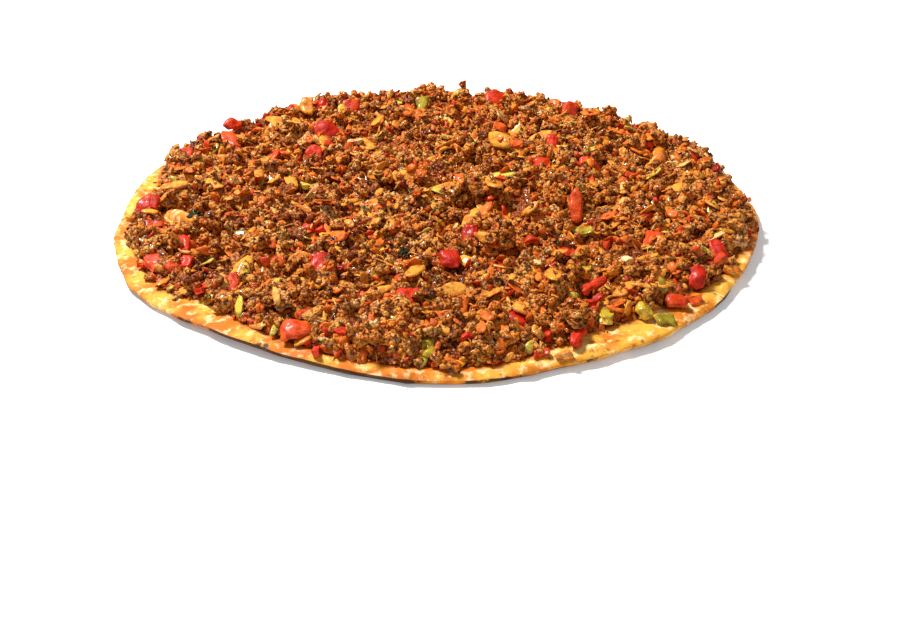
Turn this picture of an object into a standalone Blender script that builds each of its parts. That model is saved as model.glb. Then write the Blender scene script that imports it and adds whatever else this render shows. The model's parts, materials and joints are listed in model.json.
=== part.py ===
"""A lahmacun: a thin round flatbread baked under a layer of spiced mince with diced peppers.

Metres, +Z up. The bread rests on z = 0 and the origin is below the middle of the whole.
The bread and the mince are turned from profiles, and their points are then moved by
functions of the angle and the place. Each large topping sits in a pocket of the mince.
"""

import math
import random

import bmesh
import bpy
from mathutils import Matrix, Vector, noise

MM = 0.001

# Flatbread
BREAD_RADIUS = 140 * MM
BREAD_THICKNESS = 2.6 * MM
RIM_THICKNESS = 3.4 * MM
SWELL_START = 0.86
SWELL_END = 0.965
FLAT_SHARE = 0.70
TOP_SHARES = (0.0, 0.35, FLAT_SHARE, 0.79, SWELL_START, 0.91, SWELL_END)
UNDER_SHARES = (0.975, 0.9, 0.8, FLAT_SHARE, 0.35, 0.0)
TURN_STEPS = 80

# Mince
MINCE_DEPTH = 5.6 * MM
MINCE_EDGE_DEPTH = 1.6 * MM
MINCE_TAPER = 9 * MM
MINCE_RINGS = 16
MINCE_UNDER_SHARES = (1.0, 0.95, 0.88, 0.8, FLAT_SHARE, 0.0)
BARE_BORDER = 6 * MM
LEAST_BORDER = 2.6 * MM
BAY_SIZE = 2.2 * MM
BAYS_PER_RADIAN = 9.0
LUMPS = ((70.0, 2.4 * MM), (160.0, 1.8 * MM))
GAP = 0.45 * MM

# Toppings
CHIP_THICKNESS = 2.4 * MM
CHIP_RISE = 0.5 * MM
CHIP_FLOOR = 1.0 * MM
CHIP_CORNERS = (0.72, 1.0)
CHIP_CURL = (0.045, 0.09)
CHIP_THINNING = 0.25
CHIP_FACE_SHARE = 0.88
STEEP_TILT = 20
STEEP_SHARE_ABOVE = 0.5
FLAT_SHARE_ABOVE = 0.2
POCKET_GAP = 0.35 * MM
POCKET_HEIGHT = 30 * MM
SEED = 7

# Bulges and dents of an edge: angle and half width in degrees, then outward shift.
BREAD_EDGE = (
    (198, 8, 1.4 * MM),
    (214, 9, 2.6 * MM),
    (236, 12, -2.4 * MM),
    (252, 9, -1.4 * MM),
    (272, 10, 2.4 * MM),
    (304, 9, 1.2 * MM),
    (330, 12, -1.4 * MM),
    (353, 8, 1.0 * MM),
    (25, 14, 1.4 * MM),
    (60, 13, -1.8 * MM),
    (95, 14, 1.2 * MM),
    (130, 13, -1.6 * MM),
    (162, 10, 1.0 * MM),
)

# Where the rim lifts off the surface below it.
RIM_LIFTS = (
    (205, 14, 1.2 * MM),
    (238, 13, 2.2 * MM),
    (300, 14, 1.4 * MM),
    (340, 16, 2.6 * MM),
    (22, 16, 1.0 * MM),
    (72, 20, 2.4 * MM),
    (128, 18, 2.8 * MM),
    (170, 14, 1.6 * MM),
)

# Where the bare border of bread is wider or narrower than BARE_BORDER.
BORDER_WIDTHS = (
    (200, 12, 3.0 * MM),
    (226, 16, 5.0 * MM),
    (268, 10, 1.5 * MM),
    (292, 8, 5.0 * MM),
    (308, 12, 8.5 * MM),
    (345, 14, -1.5 * MM),
    (40, 30, -2.5 * MM),
    (100, 40, -3.0 * MM),
    (150, 20, -2.0 * MM),
    (176, 7, 5.0 * MM),
)

# How deep a blister's lower half is, as a share of its upper half, and where its middle is.
BLISTER_ROOT = 0.15
BLISTER_MIDDLE = BREAD_THICKNESS * 0.9

# Puffed blisters of bread that stand up through the mince: x, y, length, width, height, yaw.
BLISTERS = (
    (-108 * MM, -24 * MM, 34 * MM, 8 * MM, 8.0 * MM, -42),
    (107 * MM, 44 * MM, 26 * MM, 9 * MM, 10.5 * MM, 82),
    (94 * MM, 78 * MM, 17 * MM, 12 * MM, 9.0 * MM, 30),
    (-40 * MM, -60 * MM, 12 * MM, 7 * MM, 7.5 * MM, 10),
)

# Toppings: kind, x, y, width, length, yaw and tilt. A tilt lifts the far end.
CHIPS = (
    ("red_pepper", 30, 114, 13, 14, 10, 45),
    ("red_pepper", -107, 78, 8, 7, 30, 35),
    ("red_pepper", -124, 37, 9, 9, 0, 30),
    ("red_pepper", -57, 65, 14, 13, 20, 42),
    ("red_pepper", -61, 43, 8, 9, 0, 35),
    ("red_pepper", 71, 27, 9, 11, 10, 35),
    ("red_pepper", 48, 26, 9, 8, 0, 30),
    ("red_pepper", 55, 50, 6, 14, -15, 40),
    ("red_pepper", -13, 18, 8, 8, 0, 30),
    ("red_pepper", -63, 106, 6, 11, 10, 45),
    ("red_pepper", -127, -16, 9, 11, 0, 25),
    ("red_pepper", -33, -21, 6, 14, -10, 15),
    ("red_pepper", 14, -46, 7, 10, 0, 40),
    ("red_pepper", -102, -57, 5, 14, 8, 15),
    ("red_pepper", -110, -68, 9, 12, 20, 10),
    ("red_pepper", 51, -62, 13, 6, -10, 20),
    ("red_pepper", 5, -69, 8, 9, 0, 25),
    ("red_pepper", 59, -85, 4, 13, -60, 15),
    ("red_pepper", -10, -98, 10, 9, 0, 25),
    ("red_pepper", 28, -111, 9, 7, 0, 15),
    ("red_pepper", 49, -122, 4, 12, -25, 10),
    ("red_pepper", 99, -82, 6, 11, -10, 30),
    ("red_pepper", 112, -60, 6, 10, 10, 20),
    ("red_pepper", -46, -71, 6, 9, 0, 25),
    ("red_pepper", 121, 36, 7, 12, -10, 40),
    ("tomato", -105, 63, 9, 16, 40, 20),
    ("tomato", -82, 37, 7, 15, -35, 20),
    ("tomato", 69, 96, 9, 13, 0, 45),
    ("tomato", -49, 105, 11, 11, 0, 45),
    ("tomato", 59, -21, 6, 16, -8, 45),
    ("tomato", -76, -88, 4, 14, 15, 15),
    ("tomato", -49, -119, 12, 10, 0, 15),
    ("tomato", 88, -48, 7, 11, -25, 15),
    ("tomato", 88, -96, 8, 7, 0, 10),
    ("tomato", 29, 74, 9, 7, 0, 30),
    ("green_pepper", -81, -47, 8, 9, -10, 20),
    ("green_pepper", -11, 110, 8, 12, -10, 40),
    ("green_pepper", -3, -129, 6, 8, 0, 10),
    ("green_pepper", 75, -104, 6, 9, 15, 15),
    ("onion", 26, 42, 4, 21, -5, 8),
    ("onion", -72, 102, 7, 12, 0, 40),
)

# A curl of onion: centre, radius of its ring, thickness of the strand and its sweep.
CURL_PLACE = (5 * MM, 39 * MM)
CURL_RADIUS = 4.6 * MM
CURL_STRAND = 0.9 * MM
CURL_SWEEP = 300
CURL_TILT = 35
CURL_POINTS = 13

# Colour, roughness and metallic value of each material.
FINISHES = {
    "baked_dough": ((0.85, 0.60, 0.27), 0.65, 0.0),
    "spiced_mince": ((0.30, 0.12, 0.035), 0.55, 0.0),
    "red_pepper": ((0.62, 0.03, 0.012), 0.25, 0.0),
    "tomato": ((0.70, 0.13, 0.02), 0.30, 0.0),
    "green_pepper": ((0.42, 0.36, 0.04), 0.30, 0.0),
    "onion": ((0.72, 0.42, 0.10), 0.35, 0.0),
}


def clear_scene():
    for obj in list(bpy.data.objects):
        bpy.data.objects.remove(obj)


def new_collection(name, hidden=False):
    collection = bpy.data.collections.new(name)
    bpy.context.scene.collection.children.link(collection)
    collection.hide_render = hidden
    return collection


def material(name):
    """The Principled material of that name, made on its first use."""
    found = bpy.data.materials.get(name)
    if found:
        return found
    colour, roughness, metallic = FINISHES[name]
    made = bpy.data.materials.new(name)
    made.use_nodes = True
    shader = made.node_tree.nodes["Principled BSDF"]
    shader.inputs["Base Color"].default_value = (*colour, 1.0)
    shader.inputs["Roughness"].default_value = roughness
    shader.inputs["Metallic"].default_value = metallic
    made.diffuse_color = (*colour, 1.0)
    return made


def add_object(name, mesh, collection, finish=None):
    obj = bpy.data.objects.new(name, mesh)
    collection.objects.link(obj)
    if finish:
        mesh.materials.append(material(finish))
    return obj


def as_cutter(obj):
    obj.hide_render = True
    obj.display_type = "WIRE"
    return obj


def applied(obj):
    """The mesh of an object with its modifiers, after which the object is removed."""
    bpy.context.view_layer.update()
    graph = bpy.context.evaluated_depsgraph_get()
    mesh = bpy.data.meshes.new_from_object(obj.evaluated_get(graph))
    bpy.data.objects.remove(obj)
    return mesh


def angular_sum(angle, features):
    """The smooth sum of the features at an angle in radians."""
    total = 0.0
    for centre, half_width, shift in features:
        apart = (math.degrees(angle) - centre + 180.0) % 360.0 - 180.0
        total += shift * math.exp(-((apart / half_width) ** 2))
    return total


def bread_edge(angle):
    return BREAD_RADIUS + angular_sum(angle, BREAD_EDGE)


def mince_edge(angle):
    """The mince's uneven outline: the bread's edge less the bare border, with small bays."""
    bays = BAY_SIZE * noise.noise(Vector((math.cos(angle), math.sin(angle), 0.3)) * BAYS_PER_RADIAN)
    border = BARE_BORDER + angular_sum(angle, BORDER_WIDTHS) + bays
    return bread_edge(angle) - max(LEAST_BORDER, border)


def rim_lift(x, y):
    """How far the whole thickness of the bread is raised at a place."""
    angle = math.atan2(y, x)
    share = math.hypot(x, y) / bread_edge(angle)
    rise = max(0.0, (share - FLAT_SHARE) / (1.0 - FLAT_SHARE))
    return angular_sum(angle, RIM_LIFTS) * rise * rise


def rim_swell(share):
    """Extra thickness towards the rim, at a share of the outline's radius."""
    reach = min(1.0, max(0.0, (share - SWELL_START) / (SWELL_END - SWELL_START)))
    return (RIM_THICKNESS - BREAD_THICKNESS) * reach * reach * (3.0 - 2.0 * reach)


def bread_top(x, y):
    share = math.hypot(x, y) / bread_edge(math.atan2(y, x))
    return BREAD_THICKNESS + rim_swell(share) + rim_lift(x, y)


def mince_depth(x, y):
    """Depth of the mince: its mean, two sizes of lump, and a taper towards the outline."""
    inside = mince_edge(math.atan2(y, x)) - math.hypot(x, y)
    lumps = sum(size * noise.noise(Vector((x, y, 0.0)) * per_metre) for per_metre, size in LUMPS)
    share = min(1.0, max(0.0, inside / MINCE_TAPER))
    full = MINCE_DEPTH + lumps - MINCE_EDGE_DEPTH
    return MINCE_EDGE_DEPTH + full * math.sqrt(share)


def mince_top(x, y):
    return bread_top(x, y) + GAP + mince_depth(x, y)


def turned(name, profile):
    """The mesh of a profile of (share of the outline, height) turned about Z."""
    mesh = bpy.data.meshes.new(name)
    edges = [(i, i + 1) for i in range(len(profile) - 1)]
    mesh.from_pydata([(r, 0.0, z) for r, z in profile], edges, [])
    obj = bpy.data.objects.new(name, mesh)
    bpy.context.scene.collection.objects.link(obj)
    screw = obj.modifiers.new("turn", "SCREW")
    screw.steps = TURN_STEPS
    screw.render_steps = TURN_STEPS
    screw.use_merge_vertices = True
    screw.merge_threshold = 0.00001
    return applied(obj)


def make_flatbread(collection):
    """A disc with a slightly thicker rounded rim, in shares of the outline's radius."""
    profile = [(share, BREAD_THICKNESS + rim_swell(share)) for share in TOP_SHARES]
    half = RIM_THICKNESS / 2
    for step in range(4):
        turn = math.radians(60 - 40 * step)
        reach = half * math.cos(turn) / BREAD_RADIUS
        profile.append((1.0 - half / BREAD_RADIUS + reach, half + half * math.sin(turn)))
    profile += [(share, 0.0) for share in UNDER_SHARES]
    mesh = turned("flatbread", profile)
    for vertex in mesh.vertices:
        angle = math.atan2(vertex.co.y, vertex.co.x)
        vertex.co.xy *= bread_edge(angle)
        vertex.co.z += rim_lift(vertex.co.x, vertex.co.y)
    return add_object("flatbread", mesh, collection, "baked_dough")


def make_mince(collection):
    """A turned block whose top follows the lumps and whose underside follows the bread."""
    rings = [ring / MINCE_RINGS for ring in range(MINCE_RINGS + 1)]
    shares = [(ring + math.sqrt(ring)) / 2 for ring in rings]
    profile = [(share, 1.0) for share in shares]
    profile += [(share, 0.0) for share in MINCE_UNDER_SHARES]
    mesh = turned("mince_layer", profile)
    for vertex in mesh.vertices:
        on_top = vertex.co.z > 0.5
        angle = math.atan2(vertex.co.y, vertex.co.x)
        vertex.co.xy *= mince_edge(angle)
        x, y = vertex.co.xy
        vertex.co.z = mince_top(x, y) if on_top else bread_top(x, y) + GAP
    return add_object("mince_layer", mesh, collection, "spiced_mince")


def blister_solid(name, blister, grow, stretch_up):
    """An ellipsoid half sunk in the bread. stretch_up draws its upper half up into a column."""
    x, y, length, width, height, yaw = blister
    shape = bmesh.new()
    bmesh.ops.create_uvsphere(shape, u_segments=12, v_segments=8, radius=1.0)
    sizes = Vector((length / 2 + grow, width / 2 + grow, height - BREAD_THICKNESS + grow))
    for vertex in shape.verts:
        vertex.co = vertex.co * sizes
        if vertex.co.z > 0:
            vertex.co.z += stretch_up
        else:
            vertex.co.z *= BLISTER_ROOT
    place = Matrix.Translation((x, y, BLISTER_MIDDLE)) @ Matrix.Rotation(math.radians(yaw), 4, "Z")
    bmesh.ops.transform(shape, matrix=place, verts=shape.verts)
    mesh = bpy.data.meshes.new(name)
    shape.to_mesh(mesh)
    shape.free()
    return mesh


def add_blisters(bread, cutters, pockets):
    """Joins each blister to the bread, and gives the mince a hole that clears it."""
    for number, blister in enumerate(BLISTERS, 1):
        name = f"blister_{number:02d}"
        solid = as_cutter(add_object(name, blister_solid(name, blister, 0.0, 0.0), cutters))
        union = bread.modifiers.new(name, "BOOLEAN")
        union.operation = "UNION"
        union.object = solid
        hole = blister_solid(name + "_hole", blister, GAP, POCKET_HEIGHT)
        as_cutter(add_object(name + "_hole", hole, pockets))


def chip_mesh(name, width, length, thickness, rng):
    """An irregular four-sided chip with rounded edges and a slight curl, centred on zero."""
    shape = bmesh.new()
    bmesh.ops.create_cube(shape, size=2.0)
    bmesh.ops.subdivide_edges(shape, edges=shape.edges[:], cuts=1, use_grid_fill=True)
    corners = {(i, j): rng.uniform(*CHIP_CORNERS) for i in (-1, 1) for j in (-1, 1)}
    curl = rng.uniform(*CHIP_CURL)
    for vertex in shape.verts:
        u, v, w = vertex.co
        pull = 1.0
        if abs(u) > 0.5 and abs(v) > 0.5:
            pull = corners[(round(u), round(v))]
        thin = 1.0 - CHIP_THINNING * (u * u + v * v) / 2
        vertex.co.x = u * pull * width / 2
        vertex.co.y = v * pull * length / 2
        vertex.co.z = w * thin * thickness / 2 - curl * width * (u * u + 0.5 * v * v)
        if abs(w) > 0.5:
            vertex.co.xy *= CHIP_FACE_SHARE
    mesh = bpy.data.meshes.new(name)
    shape.to_mesh(mesh)
    shape.free()
    return mesh


def seat(name, mesh, x, y, yaw, tilt, sink, pockets):
    """Turns a topping, sets its height and cuts its pocket.

    It is partly sunk in the mince and clear of the bread. The pocket clears the topping's
    turned box and everything above it.
    """
    low_corner = Vector([min(vertex.co[axis] for vertex in mesh.vertices) for axis in range(3)])
    high_corner = Vector([max(vertex.co[axis] for vertex in mesh.vertices) for axis in range(3)])
    turn = Matrix.Rotation(math.radians(yaw), 4, "Z") @ Matrix.Rotation(math.radians(tilt), 4, "X")
    heights = [(turn @ vertex.co).z for vertex in mesh.vertices]
    low, high = min(heights), max(heights)
    height = mince_top(x, y) + CHIP_RISE - high + (high - low) * sink
    height = max(height, bread_top(x, y) + GAP + CHIP_FLOOR - low)
    place = Matrix.Translation((x, y, height)) @ turn
    mesh.transform(place)

    shape = bmesh.new()
    bmesh.ops.create_cube(shape, size=2.0)
    half = (high_corner - low_corner) / 2 + Vector((POCKET_GAP,) * 3)
    for vertex in shape.verts:
        vertex.co = (high_corner + low_corner) / 2 + vertex.co * half
    bmesh.ops.transform(shape, matrix=place, verts=shape.verts)
    for corner in [vertex.co.copy() for vertex in shape.verts]:
        shape.verts.new(corner + Vector((0, 0, POCKET_HEIGHT)))
    bmesh.ops.delete(shape, geom=shape.edges[:], context="EDGES_FACES")
    hull = bmesh.ops.convex_hull(shape, input=shape.verts)
    inner = [item for item in hull["geom_interior"] if isinstance(item, bmesh.types.BMVert)]
    bmesh.ops.delete(shape, geom=inner, context="VERTS")
    bmesh.ops.recalc_face_normals(shape, faces=shape.faces)
    cutter = bpy.data.meshes.new(name + "_pocket")
    shape.to_mesh(cutter)
    shape.free()
    as_cutter(add_object(name + "_pocket", cutter, pockets))


def make_chips(collection, pockets):
    """One node for each large topping."""
    rng = random.Random(SEED)
    counts = {}
    for kind, x, y, width, length, yaw, tilt in CHIPS:
        counts[kind] = counts.get(kind, 0) + 1
        name = f"{kind}_{counts[kind]:02d}"
        mesh = chip_mesh(name, width * MM, length * MM, CHIP_THICKNESS, rng)
        sink = STEEP_SHARE_ABOVE if tilt > STEEP_TILT else FLAT_SHARE_ABOVE
        seat(name, mesh, x * MM, y * MM, yaw, tilt, sink, pockets)
        add_object(name, mesh, collection, kind)
    return counts


def make_curl(number, collection, pockets):
    """A strand of onion curled into an open ring."""
    name = f"onion_{number:02d}"
    curve = bpy.data.curves.new(name, "CURVE")
    curve.dimensions = "3D"
    curve.bevel_depth = CURL_STRAND
    curve.bevel_resolution = 1
    curve.use_fill_caps = True
    spline = curve.splines.new("POLY")
    spline.points.add(CURL_POINTS - 1)
    for index, point in enumerate(spline.points):
        turn = math.radians(CURL_SWEEP * index / (CURL_POINTS - 1))
        point.co = (CURL_RADIUS * math.cos(turn), CURL_RADIUS * math.sin(turn), 0.0, 1.0)
    guide = bpy.data.objects.new(name + "_guide", curve)
    bpy.context.scene.collection.objects.link(guide)
    mesh = applied(guide)
    bpy.data.curves.remove(curve)
    shape = bmesh.new()
    shape.from_mesh(mesh)
    bmesh.ops.remove_doubles(shape, verts=shape.verts, dist=0.00001)
    shape.to_mesh(mesh)
    shape.free()
    seat(name, mesh, *CURL_PLACE, 0, CURL_TILT, STEEP_SHARE_ABOVE, pockets)
    add_object(name, mesh, collection, "onion")


def cut_mince(mince, pockets):
    cut = mince.modifiers.new("pockets", "BOOLEAN")
    cut.operation = "DIFFERENCE"
    cut.operand_type = "COLLECTION"
    cut.collection = pockets


def centre_all(collections):
    """Moves every mesh so that the origin is below the middle of the bread's box."""
    bread = bpy.data.objects["flatbread"].data
    middle = Vector((0.0, 0.0, 0.0))
    for axis in (0, 1):
        places = [vertex.co[axis] for vertex in bread.vertices]
        middle[axis] = (min(places) + max(places)) / 2
    for collection in collections:
        for obj in collection.objects:
            obj.data.transform(Matrix.Translation(-middle))
    print(f"the middle of the bread was at {middle.x / MM:.2f}, {middle.y / MM:.2f} mm")


def main():
    clear_scene()
    lahmacun = new_collection("lahmacun")
    cutters = new_collection("cutters", hidden=True)
    pockets = new_collection("pockets", hidden=True)
    bread = make_flatbread(lahmacun)
    mince = make_mince(lahmacun)
    add_blisters(bread, cutters, pockets)
    counts = make_chips(lahmacun, pockets)
    make_curl(counts["onion"] + 1, lahmacun, pockets)
    cut_mince(mince, pockets)
    centre_all((lahmacun, cutters, pockets))


main()
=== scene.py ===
# %% [markdown]
# # A lahmacun, straight from the oven
#
# A lahmacun is a thin round flatbread baked under a layer of spiced mince. This file builds
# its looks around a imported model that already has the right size: a bread, a block that
# stands for the mince, and a chip for every large piece of pepper, tomato and onion.
# The bread gets a fine surface, the block becomes thousands of crumbs over a smaller core,
# and each chip becomes a wet, slightly wrinkled piece of vegetable.

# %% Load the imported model
import json
import math
import random

import bmesh
import bpy
import numpy as np
from mathutils import Matrix, Vector, noise
from mathutils.bvhtree import BVHTree

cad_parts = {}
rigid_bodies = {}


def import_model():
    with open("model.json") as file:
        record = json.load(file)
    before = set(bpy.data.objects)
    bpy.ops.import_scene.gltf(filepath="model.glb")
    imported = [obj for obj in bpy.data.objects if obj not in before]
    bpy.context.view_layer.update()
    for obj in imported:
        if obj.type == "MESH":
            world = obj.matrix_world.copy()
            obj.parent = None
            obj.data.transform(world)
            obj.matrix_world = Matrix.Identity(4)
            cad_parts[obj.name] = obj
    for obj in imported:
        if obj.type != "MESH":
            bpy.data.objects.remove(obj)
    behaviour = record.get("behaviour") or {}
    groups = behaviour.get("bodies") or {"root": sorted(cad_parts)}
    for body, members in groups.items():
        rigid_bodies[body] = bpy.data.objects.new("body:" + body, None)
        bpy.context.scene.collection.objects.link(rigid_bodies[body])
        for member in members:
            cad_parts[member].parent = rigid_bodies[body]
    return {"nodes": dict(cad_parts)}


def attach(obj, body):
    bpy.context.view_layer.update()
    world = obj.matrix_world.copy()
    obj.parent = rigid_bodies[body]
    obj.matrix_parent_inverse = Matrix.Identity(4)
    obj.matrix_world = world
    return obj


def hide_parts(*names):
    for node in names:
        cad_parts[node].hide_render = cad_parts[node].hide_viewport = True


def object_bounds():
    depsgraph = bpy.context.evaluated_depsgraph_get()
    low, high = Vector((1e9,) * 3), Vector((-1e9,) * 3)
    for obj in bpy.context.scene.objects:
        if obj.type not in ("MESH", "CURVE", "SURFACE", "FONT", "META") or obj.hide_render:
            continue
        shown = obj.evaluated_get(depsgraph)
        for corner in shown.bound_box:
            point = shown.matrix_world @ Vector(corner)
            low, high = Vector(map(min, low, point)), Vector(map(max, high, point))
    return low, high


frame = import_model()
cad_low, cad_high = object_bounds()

MM = 0.001
ROOT = "root"
size = [round(side / MM, 1) for side in cad_high - cad_low]
print("packed nodes:", len(frame["nodes"]), "box in mm:", size)

# %% [markdown]
# ## Camera, light and table
#
# The lahmacun is seen from about 31 degrees above the table, close enough that the front
# edge looks clearly nearer than the back. A 40 mm lens at 37 cm gives that perspective.
# The light is a soft box from the upper left and a little behind, so that every crumb has a
# bright and a dark side, with a large weak light in front to open the shadows. The plain
# "Standard" view transform keeps a white table white and the reds clean.

# %% Camera
CAMERA_PLACE = Vector((0.00476, -0.41341, 0.19215))
CAMERA_AIM = Vector((0.00476, -0.09488, 0.0))
CAMERA_LENS = 40.0
SENSOR_WIDTH = 36.0


def show(thing):
    """Puts an object in the scene."""
    bpy.context.scene.collection.objects.link(thing)


def looking(place, aim):
    """The matrix of a camera or a light that stands at a place and looks at a point."""
    turn = (Vector(aim) - Vector(place)).to_track_quat("-Z", "Y")
    return Matrix.Translation(place) @ turn.to_matrix().to_4x4()


camera_data = bpy.data.cameras.new("camera")
camera_data.lens = CAMERA_LENS
camera_data.sensor_width = SENSOR_WIDTH
camera = bpy.data.objects.new("camera", camera_data)
camera.matrix_world = looking(CAMERA_PLACE, CAMERA_AIM)
show(camera)
bpy.context.scene.camera = camera
bpy.context.scene.view_settings.view_transform = "Standard"
print("camera distance in mm:", round((CAMERA_AIM - CAMERA_PLACE).length / MM))

# %% [markdown]
# The sky is white where the camera looks into it, but much weaker for everything that it
# lights, so that the soft boxes still make the shadows.

# %% Lights
WHITE = (1.0, 1.0, 1.0, 1.0)
SKY_LIGHT, SKY_SEEN = 0.24, 1.0


def soft_box(name, place, width, watts):
    """A square area light that looks at the middle of the table."""
    data = bpy.data.lights.new(name, "AREA")
    data.size = width
    data.energy = watts
    light = bpy.data.objects.new(name, data)
    light.matrix_world = looking(place, (0.0, 0.0, 0.0))
    show(light)


soft_box("key_light", (-0.44, 0.26, 0.82), 0.20, 18.0)
soft_box("front_fill", (0.35, -0.90, 0.75), 0.90, 2.5)
world = bpy.data.worlds.new("studio")
world.use_nodes = True
seen = world.node_tree.nodes.new("ShaderNodeLightPath").outputs["Is Camera Ray"]
brightness = world.node_tree.nodes.new("ShaderNodeMapRange")
brightness.inputs["To Min"].default_value = SKY_LIGHT
brightness.inputs["To Max"].default_value = SKY_SEEN
background = world.node_tree.nodes["Background"]
background.inputs["Color"].default_value = WHITE
world.node_tree.links.new(seen, brightness.inputs["Value"])
world.node_tree.links.new(brightness.outputs["Result"], background.inputs["Strength"])
bpy.context.scene.world = world


# %% [markdown]
# ## A short way to write node trees
#
# Shader and geometry trees are both long lists of nodes and links. Written as formulas they
# stay readable, so a small class wraps a socket and turns +, -, *, / and ** into Math nodes.
# Every other node comes from one method, which takes its type, its sockets and its settings.


# %% Node trees as expressions
def arithmetic(operation, swapped=False):
    """An operator that adds a Math node; swapped when the wire stands on its right."""

    def method(self, other):
        first, second = (other, self) if swapped else (self, other)
        return self.math(operation, first, second)

    return method


class Wire:
    """A value that flows in a node tree. Arithmetic on it adds Math nodes."""

    def __init__(self, tree, socket):
        self.tree = tree
        self.socket = socket

    def out(self, name):
        """Another output of the node that this value comes from."""
        found = [s for s in self.socket.node.outputs if s.enabled and s.name == name]
        return Wire(self.tree, found[0])

    def math(self, operation, first, second):
        """A Math node on two values."""
        return self.tree.add("ShaderNodeMath", {0: first, 1: second}, operation=operation)

    __add__ = __radd__ = arithmetic("ADD")
    __sub__, __rsub__ = arithmetic("SUBTRACT"), arithmetic("SUBTRACT", swapped=True)
    __mul__ = __rmul__ = arithmetic("MULTIPLY")
    __truediv__ = arithmetic("DIVIDE")
    __pow__ = arithmetic("POWER")

    def at_least(self, low):
        return self.math("MAXIMUM", self, low)

    def above(self, start, end):
        """0 below start and 1 above end, with a smooth step between."""
        sockets = {"Value": self, "From Min": start, "From Max": end}
        return self.tree.add("ShaderNodeMapRange", sockets, interpolation_type="SMOOTHSTEP")


class Tree:
    """A node tree under construction."""

    def __init__(self, target):
        self.target = target

    def add(self, kind, sockets=None, **settings):
        """Adds a node of a type, with the values or links of its sockets and its settings."""
        node = self.target.nodes.new(kind)
        for name, value in settings.items():
            if name == "stops":
                self.set_stops(node.color_ramp, value)
            else:
                setattr(node, name, value)
        self.fill(node, sockets or {})
        shown = [s for s in node.outputs if s.enabled]
        return Wire(self, shown[0])

    def fill(self, node, sockets):
        """Links or sets sockets of a node, which go by their number or their name."""
        for key, value in sockets.items():
            found = [s for s in node.inputs if s.enabled and s.name == key]
            socket = found[0] if found else node.inputs[key]
            if isinstance(value, Wire):
                self.target.links.new(value.socket, socket)
            else:
                socket.default_value = value

    @staticmethod
    def set_stops(ramp, stops):
        while len(ramp.elements) < len(stops):
            ramp.elements.new(1.0)
        for element, (place, colour) in zip(ramp.elements, stops):
            element.position = place
            element.color = colour

    def vector(self, operation, *inputs, **named):
        """A Vector Math node: its vectors in order, and its other sockets by name."""
        sockets = {**dict(enumerate(inputs)), **named}
        return self.add("ShaderNodeVectorMath", sockets, operation=operation)

    def noise(self, place, scale, detail=2.0, **more):
        """Smooth noise at a place; scale is in features for each metre."""
        sockets = {"Vector": place, "Scale": scale, "Detail": detail, **more}
        return self.add("ShaderNodeTexNoise", sockets)

    def cells(self, place, scale):
        """How far a place is from the middle of its cell."""
        return self.add("ShaderNodeTexVoronoi", {"Vector": place, "Scale": scale})

    def blend(self, share, first, second, how="MIX"):
        """A colour between two colours."""
        sockets = {"Factor": share, "A": first, "B": second}
        return self.add("ShaderNodeMix", sockets, data_type="RGBA", blend_type=how)


def paint(hex_colour):
    """The linear colour of six hexadecimal digits, as a painter would pick it."""
    parts = [int(hex_colour[i : i + 2], 16) / 255 for i in (0, 2, 4)]
    linear = [p / 12.92 if p <= 0.04045 else ((p + 0.055) / 1.055) ** 2.4 for p in parts]
    return (*linear, 1.0)


# %% [markdown]
# ## Finishes
#
# Cooked food is never one flat colour. Each material starts from a ramp of the colours that
# the ingredient has, picked for each crumb or chip by its own "tone", and adds patches and
# fine mottling from noise in Object coordinates. Juice and oil make it shine: a clear coat
# over a rougher body gives the many small highlights.


# %% The common part of every finish
def finish_tree(name):
    """A new material, the tree to write it in, and its Principled shader."""
    made = bpy.data.materials.new(name)
    made.use_nodes = True
    return made, Tree(made.node_tree), made.node_tree.nodes["Principled BSDF"]


def object_place(tree):
    return tree.add("ShaderNodeTexCoord").out("Object")


def mottle(tree, scale, detail=3.0, roughness=0.55):
    """Noise in the object's own coordinates."""
    return tree.noise(object_place(tree), scale, detail, Roughness=roughness)


def attribute(tree, name):
    return tree.add("ShaderNodeAttribute", attribute_name=name).out("Fac")


def ramp(tree, value, stops):
    coloured = [(place, paint(colour)) for place, colour in stops]
    return tree.add("ShaderNodeValToRGB", {"Fac": value}, stops=coloured)


def bumps(tree, height, depth, strength):
    sockets = {"Height": height, "Distance": depth, "Strength": strength}
    return tree.add("ShaderNodeBump", sockets)


# %% [markdown]
# The core's tone is its height, so its ramp paints the hollows darker than the tops: painted
# shade. The mince is more golden towards the edge and on the side of positive x. The fine grains
# come from a cell noise on slightly wobbled coordinates, and the gaps between them are darkened:
# painted shade between the grains.

# %% Mince and its oily core
# The colour multiplied into the gaps between the grains: painted shade.
GAP_SHADE_COLOUR = "5C1202"


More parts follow.
